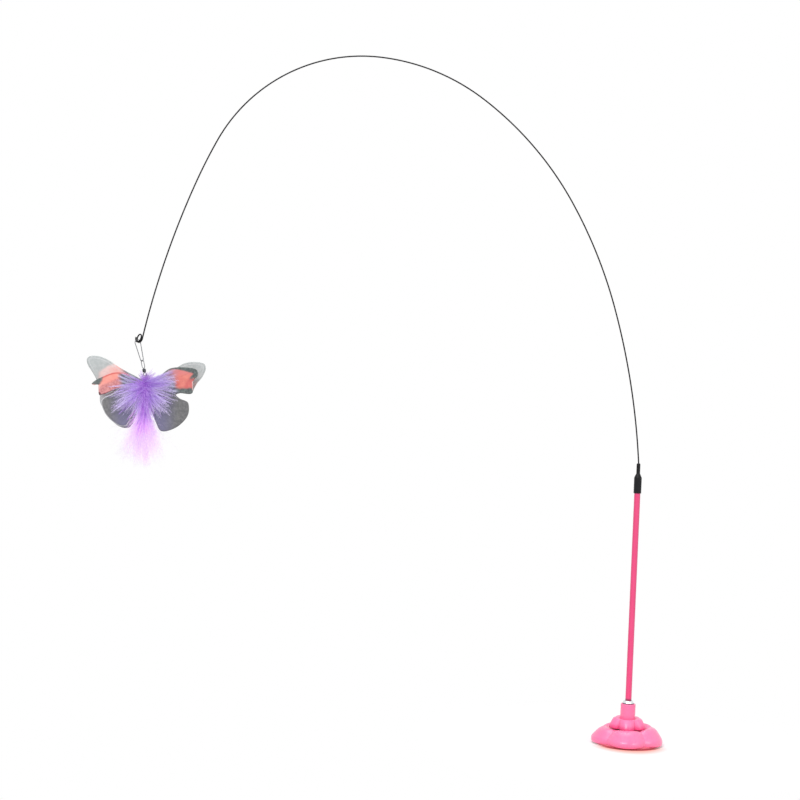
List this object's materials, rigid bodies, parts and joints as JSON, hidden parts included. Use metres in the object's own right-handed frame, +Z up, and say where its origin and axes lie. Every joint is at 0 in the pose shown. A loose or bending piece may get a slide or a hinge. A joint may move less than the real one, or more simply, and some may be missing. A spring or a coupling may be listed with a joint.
{
  "type": "cat teaser wand",
  "caption": "Cat teaser: a film butterfly with feathers hangs from a long springy wire on a pink rod, which turns in a flower-shaped suction base.",
  "frame": {"origin": "on the floor, on the axis of the suction base and its rod", "axes": "+Z up along the rod, -X towards the butterfly, -Y towards the front of the butterfly and its feathers"},
  "size_m": [0.5788, 0.0693, 0.6621],
  "materials": {
    "cup_pink": "smooth, soft, slightly translucent pink",
    "base_pink": "glossy bright pink",
    "socket_metal": "bright turned metal",
    "rod_pink": "glossy deep pink",
    "dark_plastic": "matt dark plastic",
    "black_sleeve": "smooth black",
    "black_wire": "black coated spring wire, satin",
    "snap_steel": "bright steel wire",
    "barrel_metal": "dark grey, satin",
    "body_pile": "soft purple pile",
    "binding_thread": "fine purple thread",
    "back_film": "thin smoky film with fine veins",
    "front_film": "thin coral film with dark borders",
    "feather_violet": "loose violet and lilac barbs",
    "feather_pale": "pale lilac fluff"
  },
  "bodies": {
    "base": {"suction_cup": "cup_pink", "flower_cover": "base_pink"},
    "nut": {"lock_nut": "base_pink"},
    "stem": {"cup_stem": "base_pink"},
    "socket": {"socket_liner": "socket_metal"},
    "wand": {"rod": "rod_pink", "rod_plug": "dark_plastic", "wire_bush": "dark_plastic", "ferrule": "black_sleeve", "wire_root": "black_wire"},
    "wire_low": {"wire_lower": "black_wire"},
    "wire_mid": {"wire_middle": "black_wire"},
    "wire_tip": {"wire_upper": "black_wire", "end_eye": "black_wire"},
    "snap": {"snap_hook": "snap_steel"},
    "gate": {"snap_gate": "snap_steel"},
    "swivel_top": {"swivel_upper_eye": "snap_steel"},
    "barrel": {"swivel_barrel": "barrel_metal"},
    "swivel_low": {"swivel_lower_eye": "snap_steel"},
    "butterfly": {"hanger_wire": "snap_steel", "butterfly_body": "body_pile", "thread_binding": "binding_thread", "back_wing_left": "back_film", "back_wing_right": "back_film", "feather_front": "feather_violet", "feather_back": "feather_violet", "feather_tail": "feather_pale"},
    "left_wing": {"front_wing_left": "front_film"},
    "right_wing": {"front_wing_right": "front_film"}
  },
  "joints": [
    {"name": "nut_turn", "type": "hinge", "parent": "base", "child": "nut", "pos_m": [0, 0, 0], "axis": [0, 0, 1], "range_deg": [0, 180]},
    {"name": "stem_lift", "type": "slide", "parent": "base", "child": "stem", "axis": [0, 0, 1], "range_m": [0, 0.0015], "deforming": ["suction_cup"]},
    {"name": "socket_turn", "type": "hinge", "parent": "stem", "child": "socket", "pos_m": [0, 0, 0], "axis": [0, 0, 1], "continuous": true},
    {"name": "wand_pull", "type": "slide", "parent": "socket", "child": "wand", "axis": [0, 0, 1], "range_m": [0, 0.024]},
    {"name": "wire_sway", "type": "hinge", "parent": "wand", "child": "wire_low", "pos_m": [0, 0, 0.2746], "axis": [1, 0, 0], "range_deg": [-15, 15], "stiffness_Nm_per_rad": 0.12, "springref_deg": 0.05},
    {"name": "wire_bow", "type": "hinge", "parent": "wire_low", "child": "wire_mid", "pos_m": [-0.07487, 0, 0.52536], "axis": [0, 1, 0], "range_deg": [-12, 12], "stiffness_Nm_per_rad": 0.1, "springref_deg": 29.55},
    {"name": "tip_bow", "type": "hinge", "parent": "wire_mid", "child": "wire_tip", "pos_m": [-0.26885, 0, 0.66093], "axis": [0, 1, 0], "range_deg": [-12, 12], "stiffness_Nm_per_rad": 0.08, "springref_deg": 17.52},
    {"name": "snap_swing", "type": "hinge", "parent": "wire_tip", "child": "snap", "pos_m": [-0.49601, 0.00225, 0.37194], "axis": [-0.4941, 0.8572, -0.1454], "range_deg": [-30, 30]},
    {"name": "gate_open", "type": "hinge", "parent": "snap", "child": "gate", "pos_m": [-0.48971, 0.00301, 0.35507], "axis": [0.4941, -0.8572, 0.1454], "range_deg": [0, 15], "stiffness_Nm_per_rad": 0.002},
    {"name": "swivel_swing", "type": "hinge", "parent": "snap", "child": "swivel_top", "pos_m": [-0.49055, 0.00225, 0.35337], "axis": [0.8223, 0.515, 0.242], "range_deg": [-30, 30]},
    {"name": "barrel_spin", "type": "hinge", "parent": "swivel_top", "child": "barrel", "pos_m": [-0.49055, 0.00225, 0.35337], "axis": [-0.2368, 0, 0.9715], "continuous": true},
    {"name": "lure_spin", "type": "hinge", "parent": "barrel", "child": "swivel_low", "pos_m": [-0.48703, 0.00225, 0.33894], "axis": [-0.2368, 0, 0.9715], "continuous": true},
    {"name": "butterfly_swing", "type": "hinge", "parent": "swivel_low", "child": "butterfly", "pos_m": [-0.48703, 0.00225, 0.33894], "axis": [0.9715, 0, 0.2368], "range_deg": [-30, 30]},
    {"name": "left_flap", "type": "hinge", "parent": "butterfly", "child": "left_wing", "pos_m": [-0.48803, -0.00163, 0.33894], "axis": [0, 0, 1], "range_deg": [-12, 12], "stiffness_Nm_per_rad": 0.0008},
    {"name": "right_flap", "type": "hinge", "parent": "butterfly", "child": "right_wing", "pos_m": [-0.48603, -0.00163, 0.33894], "axis": [0, 0, 1], "range_deg": [-12, 12], "stiffness_Nm_per_rad": 0.0008}
  ],
  "couplings": [
    {"joint": "nut_turn", "follows": "stem_lift", "rad_per_m": 2094.4}
  ]
}
